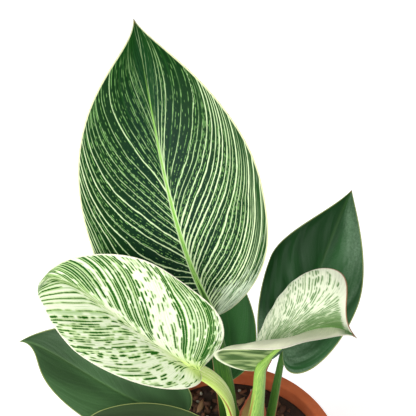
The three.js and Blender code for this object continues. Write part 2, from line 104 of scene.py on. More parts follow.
# Each leaf, with pairs for its left and right half seen from the stalk. The sizes are the frame's own.
# Veins is each half's step, sweep, close, power and climb, as vein_root takes them. A folded leaf has a
# fan instead: how far its veins rise along the midrib, within how far of it, and their slope beyond.
# Relief is the height of the swells between side veins, their number and the depth of the crease.
SIDE_VEINS = (0.06, 0.15, 0.25, 4, 12)
DARK = dict(slot="leaf_dark", late=(1, 1), wave=(0.5, 0.5), waves=2, veins=(SIDE_VEINS, SIDE_VEINS),
            relief=(0.1, 8, 0.35), rows=120, columns=28)
LEAVES = {
    "striped_large": dict(
        slot="leaf_striped", foot=120,
        stalk_width=(4.6, 5.2, 3.4), stalk_depth=(2.4, 2.4), rise=(2, 10, 140), bend=(-6, 13, 175),
        midrib=((-8, 25, 202), (-33, 55, 230), (-38, 88, 287), (-49, 137, 300)),
        side=(1.18, -0.26, -0.22), twist=-3, width=(44, 47.5), widest=(0.38, 0.4), lobe=(8, 2),
        shoulder=(0.65, 0.45), cusp=(0.15, 0.11), slim=(0.1, 0.09),
        fold=(5, 14), curl=(2, 0), late=(1, 1), wave=(0.8, 0.8), waves=3,
        veins=((0.03, 0.12, 0.15, 5.7, 15), (0.06, 0.21, 0.18, 5, 18)),
        relief=(0.25, 14, 0.35), rows=190, columns=44),
    "pale_left": dict(
        slot="leaf_pale", foot=-152,
        stalk_width=(3.6, 3.6, 3.8), stalk_depth=(2.3, 2.4), rise=(6, -1, 140), bend=(4, -6, 185),
        midrib=((-16, -10, 205), (-60, 11, 217), (-82, 23, 255), (-95, 27, 225)),
        side=(0.28, 0.58, 0.09), twist=16, width=(26.5, 33.5), widest=(0.52, 0.36), lobe=(7.5, 1),
        shoulder=(0.35, 0.65), cusp=(0.03, 0.24), slim=(0.49, 0.02),
        fold=(3, 14), curl=(-8, 38), late=(3, 1), wave=(0.5, 0.8), waves=4,
        veins=((0.2, -0.06, 0.11, 3.1, 20), (0.12, 0.22, 0.044, 6.5, 2.4)),
        relief=(0.8, 5, 0.1), rows=150, columns=36),
    "folded_right": dict(
        slot="leaf_pale", foot=-62,
        stalk_width=(4.4, 6.9, 3.3), stalk_depth=(2.4, 2.8), rise=(10, -13, 140), bend=(13, -15, 190),
        midrib=((10, -16, 214), (18, -10, 229), (46, -5, 248), (59, -8, 229)),
        side=(-0.52, -0.58, -0.35), twist=16, width=(33, 33.5), widest=(0.67, 0.32), lobe=(1, 2.5),
        shoulder=(0.85, 0.4), cusp=(0.36, 0.47), slim=(0.02, 0.35),
        fold=(44, 53), curl=(-92, -52), late=(1, 4), wave=(0.6, 0.6), waves=3,
        fan=((37, 6, 0), (0, 6, -0.3)), relief=(0.5, 8, 0.1), rows=150, columns=36),
    "dark_right": DARK | dict(
        foot=30,
        stalk_width=(3.4, 2.6, 1.6), stalk_depth=(2.2, 1.6), rise=(22, 4, 125), bend=(22.5, 10, 168),
        midrib=((26, 14, 188), (41, 39, 198), (53, 66, 229), (62, 86, 228)),
        side=(0.72, -0.34, -0.6), twist=26, width=(25.5, 25), widest=(0.46, 0.37), lobe=(16, 10.5),
        shoulder=(0.32, 0.4), cusp=(0.18, 0.07), slim=(0.13, 0.11),
        fold=(8, 6), curl=(-24, 18), relief=(0.9, 6, 0.2)),
    "dark_left": DARK | dict(
        foot=168,
        stalk_width=(3.2, 2.9, 1.9), stalk_depth=(2.2, 1.8), rise=(-9, -1, 125), bend=(-15, -1, 146),
        midrib=((-26, -1, 149), (-65, 1, 165), (-97, 26, 185), (-110, 30, 172)),
        side=(0.22, 0.86, 0.45), twist=-12, width=(21.5, 26.5), widest=(0.36, 0.46), lobe=(9, 5.5),
        shoulder=(0.8, 0.55), cusp=(0.24, 0.12), slim=(0.03, 0.08), fold=(11, 8), curl=(0, 36)),
    "dark_front": DARK | dict(
        foot=-110,
        stalk_width=(3, 2.7, 1.8), stalk_depth=(2.1, 1.7), rise=(1, -16, 125), bend=(2, -24, 147),
        midrib=((-8, -22, 150), (-46, -30, 163), (-71, -40, 170), (-88, -62, 152)),
        side=(-0.16, 0.73, 0.37), twist=-3, width=(25, 28), widest=(0.42, 0.53), lobe=(8, 8),
        shoulder=(0.45, 0.4), cusp=(0.2, 0.23), slim=(0.1, 0.08),
        fold=(10, 6), curl=(0, 0), wave=(0.5, 0.3)),
    "dark_back": DARK | dict(
        foot=73,
        stalk_width=(3, 2.7, 1.8), stalk_depth=(2.1, 1.7), rise=(8, 12, 115), bend=(-1, 22, 130),
        midrib=((-2, 29, 135), (5, 51, 128), (-5, 87, 161), (-10, 111, 169)),
        side=(0.98, -0.24, 0.3), twist=-4, width=(19.5, 21.5), widest=(0.35, 0.34), lobe=(5, 1),
        shoulder=(0.45, 0.4), cusp=(0.22, 0.21), slim=(0.1, 0.13), fold=(8, 33), curl=(9, -6)),
}
SHEATH = dict(foot=-45, ring=7.6, rise=(11, -10, 125), bend=(7, -8, 175), tip=(19, -2, 202.5),
              half_width=(2, 9, 0.5), half_depth=(0.7, 0.4), hollow=0.25, sides=48)

# The photograph's view and its light, in metres and pixels
VIEW_FROM = (-0.0118, -0.4324, 0.8313)
VIEW_DOWN = 50  # degrees below level, looking along +Y
VIEW_FOCUS = 1550  # the focal length in pixels of the photograph
PHOTO_WIDTH = 416
SENSOR = 36
LIT_SPOT = (0, 0.02, 0.2)


# Vectors and curves

def unit(vectors):
    """Each vector divided by its length."""
    return vectors / (np.linalg.norm(vectors, axis=-1, keepdims=True) + 1e-12)


def dot(a, b):
    """The sum of products along the last axis, kept as a column."""
    return np.sum(a * b, axis=-1, keepdims=True)


def squared(across, forward):
    """Two unit directions square to forward: across less its share of it, and their cross product."""
    across = unit(across - dot(across, forward) * forward)
    return across, np.cross(across, forward)


def smoothstep(x, low, high):
    """0 below low, 1 above high, and 3s^2 - 2s^3 of the share s between them."""
    s = np.clip((x - low) / (high - low), 0, 1)
    return s * s * (3 - 2 * s)


def mix(a, b, share):
    """The point at this share of the way from a to b."""
    return a + (b - a) * share


def bezier(control, share):
    """A cubic curve: the control points weighted by (1-s)^3, 3s(1-s)^2, 3s^2(1-s) and s^3."""
    s = np.asarray(share, float)[..., None]
    a, b, c, d = np.array(control, float)
    return a * (1 - s) ** 3 + 3 * b * s * (1 - s) ** 2 + 3 * c * s ** 2 * (1 - s) + d * s ** 3


def bezier_slope(control, share):
    """The derivative of that cubic curve by its share."""
    s = np.asarray(share, float)[..., None]
    a, b, c, d = np.array(control, float)
    return 3 * ((b - a) * (1 - s) ** 2 + 2 * (c - b) * s * (1 - s) + (d - c) * s ** 2)


class Path:
    """A cubic curve read by the distance along it, and carried on straight past both ends."""

    def __init__(self, *control):
        self.control = [np.array(p, float) for p in control]
        self.share = np.linspace(0, 1, 400)
        steps = np.diff(bezier(self.control, self.share), axis=0)
        self.distance = np.concatenate([[0], np.cumsum(np.linalg.norm(steps, axis=1))])
        self.length = self.distance[-1]

    def at(self, distance):
        """The points and the directions at these distances."""
        distance = np.asarray(distance, float)
        inside = np.clip(distance, 0, self.length)
        share = np.interp(inside, self.distance, self.share)
        direction = unit(bezier_slope(self.control, share))
        return bezier(self.control, share) + (distance - inside)[..., None] * direction, direction


def lattice_noise(points, cell, seed):
    """Random numbers from -1 to 1 on a lattice of this cell, blended by smoothstep between its corners."""
    size = 32
    table = np.random.default_rng(seed).uniform(-1, 1, (size, size, size))
    place = np.asarray(points, float) / cell
    low = np.floor(place).astype(int)
    share = smoothstep(place - low, 0, 1)
    total = np.zeros(place.shape[:-1])
    for corner in np.ndindex(2, 2, 2):
        weight = np.prod(np.where(corner, share, 1 - share), axis=-1)
        index = (low + corner) % size
        total += weight * table[index[..., 0], index[..., 1], index[..., 2]]
    return total


def ring_angles(count):
    """This many angles evenly round a ring."""
    return np.arange(count) / count * 2 * np.pi


def heading(degrees):
    """The level direction at this angle from +X."""
    turn = math.radians(degrees)
    return np.array([math.cos(turn), math.sin(turn), 0])


# Meshes

def lofted(rings, start, end):
    """The faces of a closed skin over rings of points, with a pole beyond the first and the last ring.

    Vertices are numbered ring by ring, then the start pole, then the end pole.
    """
    count, size = rings.shape[:2]
    here = np.arange(size)
    after = (here + 1) % size
    base = np.arange(count - 1)[:, None] * size
    quads = np.stack([base + here, base + size + here, base + size + after, base + after], -1)
    first, last = count * size, count * size + 1
    low = np.stack([np.full(size, first), here, after], -1)
    high = np.stack([np.full(size, last), after + (count - 1) * size, here + (count - 1) * size], -1)
    vertices = np.concatenate([rings.reshape(-1, 3), [start, end]])
    return vertices, quads.reshape(-1, 4), np.concatenate([low, high])


def signed_volume(vertices, quads, triangles):
    """A sixth of the sum of a.(b x c) over the triangles: negative when the faces point inwards."""
    corners = np.concatenate([quads[:, [0, 1, 2]], quads[:, [0, 2, 3]], triangles])
    a, b, c = (vertices[corners[:, k]] for k in range(3))
    return float(np.sum(a * np.cross(b, c))) / 6


def make_mesh(name, vertices, quads, triangles, attributes=None):
    """A smooth mesh in metres from arrays in millimetres, turned so that its faces point outwards."""
    if signed_volume(vertices, quads, triangles) < 0:
        quads, triangles = quads[:, ::-1], triangles[:, ::-1]
    mesh = bpy.data.meshes.new(name)
    corners = np.concatenate([quads.ravel(), triangles.ravel()]).astype(np.int32)
    sizes = np.concatenate([np.full(len(quads), 4), np.full(len(triangles), 3)])
    starts = np.concatenate([[0], np.cumsum(sizes)[:-1]]).astype(np.int32)
    mesh.vertices.add(len(vertices))
    mesh.vertices.foreach_set("co", (vertices * MM).astype(np.float32).ravel())
    mesh.loops.add(len(corners))
    mesh.loops.foreach_set("vertex_index", corners)
    mesh.polygons.add(len(sizes))
    mesh.polygons.foreach_set("loop_start", starts)
    mesh.polygons.foreach_set("use_smooth", np.ones(len(sizes), bool))
    mesh.update()
    for label, values in (attributes or {}).items():
        layer = mesh.attributes.new(label, "FLOAT", "POINT")
        layer.data.foreach_set("value", np.asarray(values, np.float32).ravel())
    piece = bpy.data.objects.new(name, mesh)
    bpy.context.scene.collection.objects.link(piece)
    return piece


def make_rod(name, rings, attributes=None):
    """A closed mesh over rings, with its poles at the means of the first and the last ring."""
    return make_mesh(name, *lofted(rings, rings[0].mean(0), rings[-1].mean(0)), attributes)


def dress(piece, material, node, slot):
    """Gives a piece its material, hangs it on the root body and hides the frame's part for its node; the
    slot is not used.
    """
    piece.data.materials.clear()
    piece.data.materials.append(material)
    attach(piece, "root")
    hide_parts(node)


def with_poles(values, start, end):
    """An attribute's values over the rings, with those of the two poles added."""
    return np.concatenate([np.asarray(values, float).ravel(), [start, end]])


# Leaf shapes

def half_outline(leaf, half, length, share):
    """One half's flat margin: a cubic curve from the stalk round the base lobe, and one on to the tip."""
    width, lobe = leaf["width"][half], leaf["lobe"][half]
    shoulder = leaf["shoulder"][half]
    widest = leaf["widest"][half] * length
    rest = length - widest
    back = ((0, 0), (-1.8 * lobe, 0.3 * width),
            (widest - 0.8 * shoulder * length - 0.6 * lobe, width), (widest, width))
    fore = ((widest, width), (widest + shoulder * rest, width),
            (length - leaf["cusp"][half] * length, leaf["slim"][half] * width), (length, 0))
    near = bezier(back, np.minimum(share / BASE_SHARE, 1))
    far = bezier(fore, np.maximum((share - BASE_SHARE) / (1 - BASE_SHARE), 0))
    return np.where((share < BASE_SHARE)[..., None], near, far)


def blade_frame(leaf, along):
    """The midrib's point, its direction, the right half's direction and the upper side, by distance."""
    point, forward = leaf["path"].at(along)
    side, up = squared(np.array(leaf["side"], float), forward)
    turn = np.radians(leaf["twist"]) * np.clip(along / leaf["path"].length, 0, 1)[..., None]
    return point, forward, side * np.cos(turn) + up * np.sin(turn), up * np.cos(turn) - side * np.sin(turn)


def prepare(leaf):
    """Adds the midrib's and the stalk's curves, from the foot on the crown's ring to under the blade."""
    leaf["path"] = Path(*leaf["midrib"])
    leaf["outward"] = heading(leaf["foot"])
    foot = CROWN + CROWN_RING * leaf["outward"]
    point, _, _, up = blade_frame(leaf, np.array(STALK_END))
    leaf["stalk"] = Path(foot, leaf["rise"], leaf["bend"], point - TOP_DROP * leaf["stalk_depth"][1] * up)


def vein_root(share, out, step, sweep, close, power, climb):
    """The share of the midrib at which the vein through each point starts, found by halving.

    A vein from q runs where 1 - share = (1 - q) * bow^k. The bow falls from 1 by a quick step, a straight
    sweep and a close in a power of the way out, and k grows once q is past CLIMB_FROM, towards the tip.
    """
    bow = 1 - step * (1 - np.exp(-out / VEIN_REACH)) - sweep * out - close * out ** power
    low, high = np.full_like(bow, -2.0), np.ones_like(bow)
    for _ in range(VEIN_HALVINGS):
        middle = (low + high) / 2
        before = (1 - middle) * bow ** (1 + climb * np.maximum(middle - CLIMB_FROM, 0)) > 1 - share
        low, high = np.where(before, middle, low), np.where(before, high, middle)
    return (low + high) / 2


def fan_root(along, across, rise, reach, slope):
    """Where the vein through each point starts, in millimetres along the midrib.

    That is its distance along, less rise * (1 - e^(-across / reach)) and less slope * across.
    """
    return along - rise * (1 - np.exp(-across / reach)) - slope * across


def spread(values, along, across):
    """Millimetres per unit of a grid's values, square to their level lines.

    That is 1 over the length of the gradient, whose two parts come from the grid's own slopes.
    """
    along_row, along_column = np.gradient(along)
    across_row, across_column = np.gradient(across)
    value_row, value_column = np.gradient(values)
    area = along_row * across_column - along_column * across_row
    area = np.where(np.abs(area) < 1e-5, 1e-5, area)
    first = (value_row * across_column - value_column * across_row) / area
    second = (along_row * value_column - along_column * value_row) / area
    return np.clip(1 / (np.hypot(first, second) + 1e-6), *SPREADS)


def bent(across, width, fold, curl, late):
    """How far out and up a bent half carries each point: the sums of the cosine and sine of its angle.

    The angle is the fold, and the curl times the share of the width so far to the power late.
    """
    step = across[..., None] / BEND_STEPS
    share = (np.arange(BEND_STEPS) + 0.5) * step / width[..., None]
    angle = np.radians(fold[..., None] + curl[..., None] * share ** late[..., None])
    return np.sum(step * np.cos(angle), -1), np.sum(step * np.sin(angle), -1)


def blade_grid(leaf):
    """The blade's middle surface and what its finish is drawn by.

    Rows run from the midrib, at a power of the share of its length, to the margin at that share, with a
    short last step. Each half leaves the midrib at the fold angle and bends by the curl. Slow waves are
    added towards the margin.
    """
    length = leaf["path"].length
    share = np.linspace(0, 1, leaf["rows"] + 1)[:, None]
    column = np.linspace(-1, 1, 2 * leaf["columns"] + 1)[None, :]
    lateral = np.sign(column) * np.abs(column) ** COLUMN_CROWDING
    lateral[:, [1, -2]] = -LAST_STEP, LAST_STEP
    out = np.abs(lateral)
    right = column >= 0

    def pick(pair):
        return np.where(right, pair[1], pair[0])

    left_margin, right_margin = (half_outline(leaf, half, length, share) for half in (0, 1))
    margin = np.where(right[..., None], right_margin, left_margin)
    along = mix(length * share ** ROW_CROWDING, margin[..., 0], out)
    across = margin[..., 1] * out
    width = pick(leaf["width"])
    reach, height = bent(across, width, *(pick(leaf[key]) for key in ("fold", "curl", "late")))
    ripple = np.sin(2 * np.pi * leaf["waves"] * share + right)
    height = height + pick(leaf["wave"]) * out ** 2 * (across / width) * ripple
    point, _, side, up = blade_frame(leaf, along)
    surface = point + side * (reach * np.where(right, 1, -1))[..., None] + up * height[..., None]
    if "fan" in leaf:
        vein = fan_root(along, across, *map(pick, zip(*leaf["fan"]))) / length
    else:
        vein = vein_root(share + 0 * out, out + 0 * share, *map(pick, zip(*leaf["veins"])))
    inset = np.linalg.norm(np.stack([along, across], -1) - margin, axis=-1)
    fields = dict(vein=vein, spread=spread(vein, along, np.where(right, across, -across)),
                  lateral=lateral + 0 * along, reach=across, inset=inset, along=along / length,
                  row=share + 0 * along)
    return surface, fields


def surface_normals(surface):
    """Unit normals of a grid: the cross product of its slopes. End rows take their neighbour's mean."""
    normal = unit(np.cross(np.gradient(surface, axis=1), np.gradient(surface, axis=0)))
    normal[0] = normal[1].mean(0)
    normal[-1] = normal[-2].mean(0)
    return unit(normal)


def relief(fields, strength, count, crease):
    """Shallow quilting: the blade rises between side veins and sinks at them and in a crease at the midrib.

    A swell is a squared sine of the vein, never higher than an eighth of its width.
    """
    fade = smoothstep(fields["inset"], 0, 4) * smoothstep(fields["reach"], 0.5, 4)
    height = np.minimum(strength, fields["spread"] / count / 8)
    swell = np.sin(np.pi * count * fields["vein"]) ** 2
    groove = -crease * np.exp(-(fields["reach"] / 0.9) ** 2) * (1 - fields["along"])
    return height * fade * swell * (0.4 + 0.6 * np.abs(fields["lateral"])) + groove


def sheet_rings(top, left, under, right):
    """The rings round a sheet from its four sides, without the end rows, which shrink to poles."""
    return np.concatenate([top[:, ::-1], left, under, right], axis=1)[1:-1]


def make_blade(name, leaf, material):
    """The blade as a closed sheet: the middle surface moved out along its normal on both sides.

    Its thickness falls to a third in a rounded margin.
    """
    surface, fields = blade_grid(leaf)
    surface = surface + surface_normals(surface) * relief(fields, *leaf["relief"])[..., None]
    normal = surface_normals(surface)
    half = mix(MARGIN_HALF, BLADE_HALF, smoothstep(fields["inset"], 0, MARGIN_ROUND))[..., None]
    left_edge = surface[:, :1] + 0.1 * unit(surface[:, :1] - surface[:, 1:2])
    right_edge = surface[:, -1:] + 0.1 * unit(surface[:, -1:] - surface[:, -2:-1])
    rings = sheet_rings(surface + normal * half, left_edge, surface - normal * half, right_edge)
    attributes = {}
    for label, values in fields.items():
        ring = sheet_rings(values, values[:, :1], values, values[:, -1:])
        attributes[label] = with_poles(ring, values[0].mean(), values[-1].mean())
    whole = np.ones(surface.shape[:2])
    edge = 0.5 * whole[:, :1]
    attributes["face"] = with_poles(sheet_rings(whole, edge, 0 * whole, edge), 0.5, 0.5)
    piece = make_mesh(name + "_blade", *lofted(rings, surface[0, 0], surface[-1, 0]), attributes)
    dress(piece, material, "leaf_" + name, leaf["slot"])


def swelling(widths, share):
    """Half width at a share of a stalk: the foot's, then the sheath's, then the top's, by smoothstep."""
    foot, middle, top = widths
    swell = smoothstep(share, 0, SHEATH_SHARE)
    slim = smoothstep(share, SHEATH_SHARE, 1)
    return foot + (middle - foot) * swell + (top - middle) * slim


def stalk_rings(centre, across, up, half_width, half_depth, hollow, sides=STALK_SIDES):
    """Rings round a stalk: an ellipse whose middle sags below its edges by a share of the width."""
    angle = ring_angles(sides)
    sag = (hollow * half_width)[:, None] * np.sin(angle) ** 2
    wide = half_width[:, None] * np.cos(angle)
    high = half_depth[:, None] * np.sin(angle) - sag
    return centre[:, None] + across[:, None] * wide[..., None] + up[:, None] * high[..., None]


def footed(rings):
    """The rings with one more, straight below the first, where the foot ends in the soil."""
    return np.concatenate([rings[:1] - np.array([0, 0, FOOT_DEPTH]), rings])


def make_stalk(name, leaf, material):
    """The stalk from below the soil to the blade, and on under the blade as a rib that thins to nothing.

    The rings where it bends into the blade are eased by averages with their neighbours.
    """
    top_width = leaf["stalk_width"][-1]
    foot_depth, top_depth = leaf["stalk_depth"]
    foot_across = np.array([leaf["outward"][1], -leaf["outward"][0], 0])
    _, blade_forward, top_side, _ = blade_frame(leaf, np.array(STALK_END))
    share = np.linspace(0, 1, 60)
    centre, forward = leaf["stalk"].at(share * leaf["stalk"].length)
    forward = unit(mix(forward, blade_forward, smoothstep(share, 0.94, 1)[:, None] * 0.5))
    across, up = squared(mix(foot_across, top_side, share[:, None]), forward)
    stalk = footed(stalk_rings(
        centre, across, up, swelling(leaf["stalk_width"], share), mix(foot_depth, top_depth, share),
        STALK_HOLLOW * np.minimum(4 * share, 1)))
    rib_share = np.linspace(0, 1, 61)[1:]
    point, _, side, rib_up = blade_frame(leaf, mix(STALK_END, RIB_END * leaf["path"].length, rib_share))
    thinner = smoothstep(rib_share, -0.03, 0.2)
    half_width = mix(top_width, RIB_WIDTH * top_width * (1 - rib_share) + RIB_TIP, thinner)
    half_depth = mix(top_depth, RIB_DEPTH * top_depth * (1 - rib_share) + RIB_TIP, thinner)
    drop = half_depth * mix(TOP_DROP, RIB_DROP, smoothstep(rib_share, 0, 0.1))
    rib = stalk_rings(point - rib_up * drop[:, None], side, rib_up, half_width, half_depth, 0 * rib_share)
    rings = np.concatenate([stalk, rib])
    start, end = len(stalk) - 5, len(stalk) + 7
    for _ in range(BEND_PASSES):
        before, after = rings[start - 1:end - 1], rings[start + 1:end + 1]
        rings[start:end] = (before + 2 * rings[start:end] + after) / 4
    angle = ring_angles(STALK_SIDES)
    height = np.concatenate([[BURIED], share, 1 + rib_share])[:, None]
    attributes = dict(
        height=with_poles(height + 0 * angle, BURIED, 2),
        edge=with_poles(np.cos(angle) + 0 * height, 0, 0),
        upper=with_poles(np.sin(angle) + 0 * height, 0, 0))
    piece = make_rod(name + "_stalk", rings, attributes)
    dress(piece, material, "leaf_" + name, leaf["slot"])


def make_sheath(material):
    """The dry sheath: a hollow pointed strip that widens from its foot and tapers to its tip."""
    outward = heading(SHEATH["foot"])
    path = Path(CROWN + SHEATH["ring"] * outward, SHEATH["rise"], SHEATH["bend"], SHEATH["tip"])
    share = np.linspace(0, 1, 80)
    centre, forward = path.at(share * path.length)
    foot_across = np.array([-outward[1], outward[0], 0])
    tip_across = np.array([1.0, 0, 0])
    across, up = squared(mix(foot_across, tip_across, np.minimum(2 * share, 1)[:, None]), forward)
    ragged = 1 + 0.05 * np.sin(23 * share) * np.sin(61 * share + 1)
    rings = footed(stalk_rings(
        centre, across, up, swelling(SHEATH["half_width"], share) * ragged,
        mix(*SHEATH["half_depth"], share), SHEATH["hollow"] * np.minimum(4 * share, 1), SHEATH["sides"]))
    angle = ring_angles(SHEATH["sides"])
    height = np.concatenate([[BURIED], share])[:, None]
    attributes = dict(height=with_poles(height + 0 * angle, BURIED, 1),
                      edge=with_poles(np.cos(angle) + 0 * height, 0, 0))
    dress(make_rod("new_leaf_sheath_strip", rings, attributes), material, "new_leaf_sheath", "dry_sheath")


# Pot, soil and stem

def revolved(profile, segments):
    """Rings of a profile of (radius, height) points turned round the Z axis."""
    angle = ring_angles(segments)
    radius, height = np.array(profile, float).T
    x, y = radius[:, None] * np.cos(angle), radius[:, None] * np.sin(angle)
    return np.stack([x, y, height[:, None] + 0 * x], -1)


def rounded(corners, radius, steps=5):
    """A profile with each inner corner made a quadratic curve between two points set back from it."""
    points = [corners[0]]
    for before, corner, after in zip(corners, corners[1:], corners[2:]):
        before, corner, after = (np.array(p, float) for p in (before, corner, after))
        back = corner + unit(before - corner) * min(radius, 0.45 * np.linalg.norm(before - corner))
        on = corner + unit(after - corner) * min(radius, 0.45 * np.linalg.norm(after - corner))
        for s in np.linspace(0, 1, steps):
            points.append(back * (1 - s) ** 2 + 2 * corner * s * (1 - s) + on * s ** 2)
    points.append(corners[-1])
    return [tuple(p) for p in points]


def divided(profile, step):
    """The profile with its straight runs cut into equal pieces no longer than about a step."""
    points = []
    for a, b in zip(profile, profile[1:]):
        count = max(1, int(math.dist(a, b) / step))
        points += [tuple(mix(np.array(a), np.array(b), k / count)) for k in range(count)]
    return points + [profile[-1]]


def inner_radius(height):
    """Radius of the pot's inside: straight up to the collar, and straight in the collar."""
    return np.interp(height, [FLOOR + FLOOR_ROUND, COLLAR_LOW, POT_HEIGHT],
                     [BASE_RADIUS - WALL + 1, RIM_RADIUS - WALL - COLLAR_DROP, RIM_RADIUS - WALL])


def make_pot(material):
    """The clay pot: a turned profile with rounded corners, less its drain holes."""
    inner, collar_foot = RIM_RADIUS - WALL, RIM_RADIUS - COLLAR_DROP
    corners = [
        (POLE_RADIUS, 0), (BASE_RADIUS, 0), (collar_foot - COLLAR_STEP, COLLAR_LOW),
        (collar_foot, COLLAR_LOW), (RIM_RADIUS, POT_HEIGHT), (inner, POT_HEIGHT),
        (inner - COLLAR_DROP, COLLAR_LOW), (BASE_RADIUS - WALL, FLOOR), (POLE_RADIUS, FLOOR)]
    rings = revolved(divided(rounded(corners, CORNER_ROUND), 2.5), POT_SEGMENTS)
    radial = unit(rings * np.array([1, 1, 0]))
    rings = rings + radial * (WOBBLE * lattice_noise(rings, 16, 3))[..., None]
    pot = make_mesh("terracotta_pot", *lofted(rings, (0, 0, 0), (0, 0, FLOOR)))
    for hole in range(DRAIN_HOLES):
        walls = revolved([(DRAIN_RADIUS, -5), (DRAIN_RADIUS, FLOOR + 5)], 40)
        cutter = make_rod("drain_cutter", walls + DRAIN_RING * heading(360 * hole / DRAIN_HOLES + 30))
        cut = pot.modifiers.new("drain", "BOOLEAN")
        cut.operation, cut.solver, cut.object = "DIFFERENCE", "EXACT", cutter
        bpy.context.view_layer.update()
        graph = bpy.context.evaluated_depsgraph_get()
        pot_mesh = bpy.data.meshes.new_from_object(pot.evaluated_get(graph))
        pot.modifiers.clear()
        pot.data = pot_mesh
        bpy.data.objects.remove(cutter)
    pot.data.name = "terracotta_pot"
    dress(pot, material, "pot", "terracotta")


def soil_height(x, y):
    """The soil's surface: the frame's two crossing waves with three sizes of lattice noise on them."""
    points = np.stack([x, y, 0 * x], -1)
    edge = 1 - (np.hypot(x, y) / inner_radius(SOIL_TOP)) ** 6
    waves = 0.8 * edge * np.sin(0.35 * x + 1) * np.sin(0.4 * y)
    lumps = ((0.9, 7, 5), (0.5, 3, 6), (0.3, 1.4, 7))
    rough = sum(height * lattice_noise(points, cell, seed) for height, cell, seed in lumps)
    return SOIL_TOP + waves + rough * (0.4 + 0.6 * edge)


def make_soil(material):
    """The soil: the pot's inside filled to its level, with a rough top."""
    bottom = FLOOR + FLOOR_ROUND + GAP
    heights = [bottom, bottom + 0.5, COLLAR_LOW - 20, COLLAR_LOW, SOIL_TOP - 2, SOIL_TOP - 0.4]
    profile = [(inner_radius(bottom) * 0.5, bottom)] + [(inner_radius(h) - GAP, h) for h in heights]
    top_radius = inner_radius(SOIL_TOP) - 2 * GAP
    profile += [(r, SOIL_TOP) for r in np.linspace(top_radius, 0.6, 80)]
    rings = revolved(profile, SOIL_SEGMENTS)
    top = np.array([height for _, height in profile]) == SOIL_TOP
    rings[top, :, 2] = soil_height(rings[top, :, 0], rings[top, :, 1])
    middle = float(soil_height(np.array(0.0), np.array(0.0)))
    piece = make_mesh("soil_bed", *lofted(rings, (0, 0, bottom), (0, 0, middle)))
    dress(piece, material, "soil", "potting_soil")


def make_crumbs(material):
    """Bark, chips and perlite on the soil: lumps with uneven radii, flattened, turned and half sunk."""
    draw = np.random.default_rng(11)
    angle = ring_angles(7)
    tilt = np.linspace(0.16, 0.84, 4)[:, None] * np.pi
    level = np.sin(tilt)
    ball = np.stack([level * np.cos(angle), level * np.sin(angle), np.cos(tilt) + 0 * angle], -1)
    corners, quads, triangles = lofted(ball, (0, 0, 1), (0, 0, -1))
    kind = draw.uniform(0, 1, CRUMBS)
    perlite = kind < PERLITE_SHARE
    size = draw.uniform(0.5, 1, CRUMBS) ** 2 * np.where(perlite, 1.5, 2.6)
    ranges = ((0.8, 1.9), (0.6, 1.1), (0.25, 0.7))
    stretch = np.stack([draw.uniform(low, high, CRUMBS) for low, high in ranges], -1)
    stretch[perlite] = draw.uniform(0.8, 1.2, (int(perlite.sum()), 3))
    lumps = corners[None] * (1 + draw.uniform(-0.28, 0.28, (CRUMBS, len(corners), 1)))
    lumps = lumps * stretch[:, None] * size[:, None, None]
    axes, _ = np.linalg.qr(np.eye(3) + draw.normal(0, 0.35, (CRUMBS, 3, 3)))
    spin = draw.uniform(0, 2 * np.pi, CRUMBS)
    turn = np.zeros((CRUMBS, 3, 3))
    turn[:, 0, 0] = turn[:, 1, 1] = np.cos(spin)
    turn[:, 1, 0], turn[:, 0, 1], turn[:, 2, 2] = np.sin(spin), -np.sin(spin), 1
    lumps = np.einsum("nij,njk,nvk->nvi", turn, axes, lumps)
    radius = (inner_radius(SOIL_TOP) - 3.4) * np.sqrt(draw.uniform(0, 1, CRUMBS))
    place = draw.uniform(0, 2 * np.pi, CRUMBS)
    x, y = radius * np.cos(place), radius * np.sin(place)
    lumps += np.stack([x, y, soil_height(x, y) + 0.25 * size], -1)[:, None]
    offset = np.arange(CRUMBS)[:, None, None] * len(corners)
    faces = ((quads + offset).reshape(-1, 4), (triangles + offset).reshape(-1, 3))
    attributes = dict(kind=np.repeat(kind, len(corners)),
                      shade=np.repeat(draw.uniform(0, 1, CRUMBS), len(corners)))
    piece = make_mesh("soil_crumbs", lumps.reshape(-1, 3), *faces, attributes)
    dress(piece, material, "soil", "potting_soil")


def make_stem(material):
    """The short stem: a turned profile with leaf scars as shallow steps and a rounded top."""
    height = np.linspace(-FOOT_DEPTH, CROWN_RISE, 90)
    radius = CROWN_RADIUS * (1 - 0.06 * np.maximum(np.sin(height * 1.9), 0) ** 3)
    radius = radius * np.sqrt(np.clip(1 - (np.maximum(height - 6, 0) / 6.2) ** 2, 0.01, 1))
    rings = revolved(np.stack([radius, SOIL_TOP + height], -1), 64) + CROWN * np.array([1, 1, 0])
    rings = rings + 0.15 * lattice_noise(rings, 2, 9)[..., None]
    dress(make_rod("stem_stub", rings), material, "stem", "stem_green")


# Materials

class Value:
    """A number that varies over a surface. Sums, products and comparisons of values add Math nodes."""

    def __init__(self, finish, socket):
        self.finish, self.socket = finish, socket

    def math(self, operation, *others):
        return self.finish.math(operation, self, *others)

    def __add__(self, other):
        return self.math("ADD", other)

    __radd__ = __add__

    def __sub__(self, other):
        return self.math("SUBTRACT", other)

    def __rsub__(self, other):
        return self.finish.math("SUBTRACT", other, self)

    def __mul__(self, other):
        return self.math("MULTIPLY", other)

    __rmul__ = __mul__

    def __truediv__(self, other):
        return self.math("DIVIDE", other)

    def __pow__(self, other):
        return self.math("POWER", other)

    def __abs__(self):
        return self.math("ABSOLUTE")

    def over(self, threshold):
        return self.math("GREATER_THAN", threshold)

    def least(self, other):
        return self.math("MINIMUM", other)

    def step(self, low, high):
        """0 at low and 1 at high, smooth between; low may be the larger."""
        return Value(self.finish, self.finish.node(
            "ShaderNodeMapRange", {"interpolation_type": "SMOOTHSTEP"},
            {"Value": self, "From Min": low, "From Max": high}))


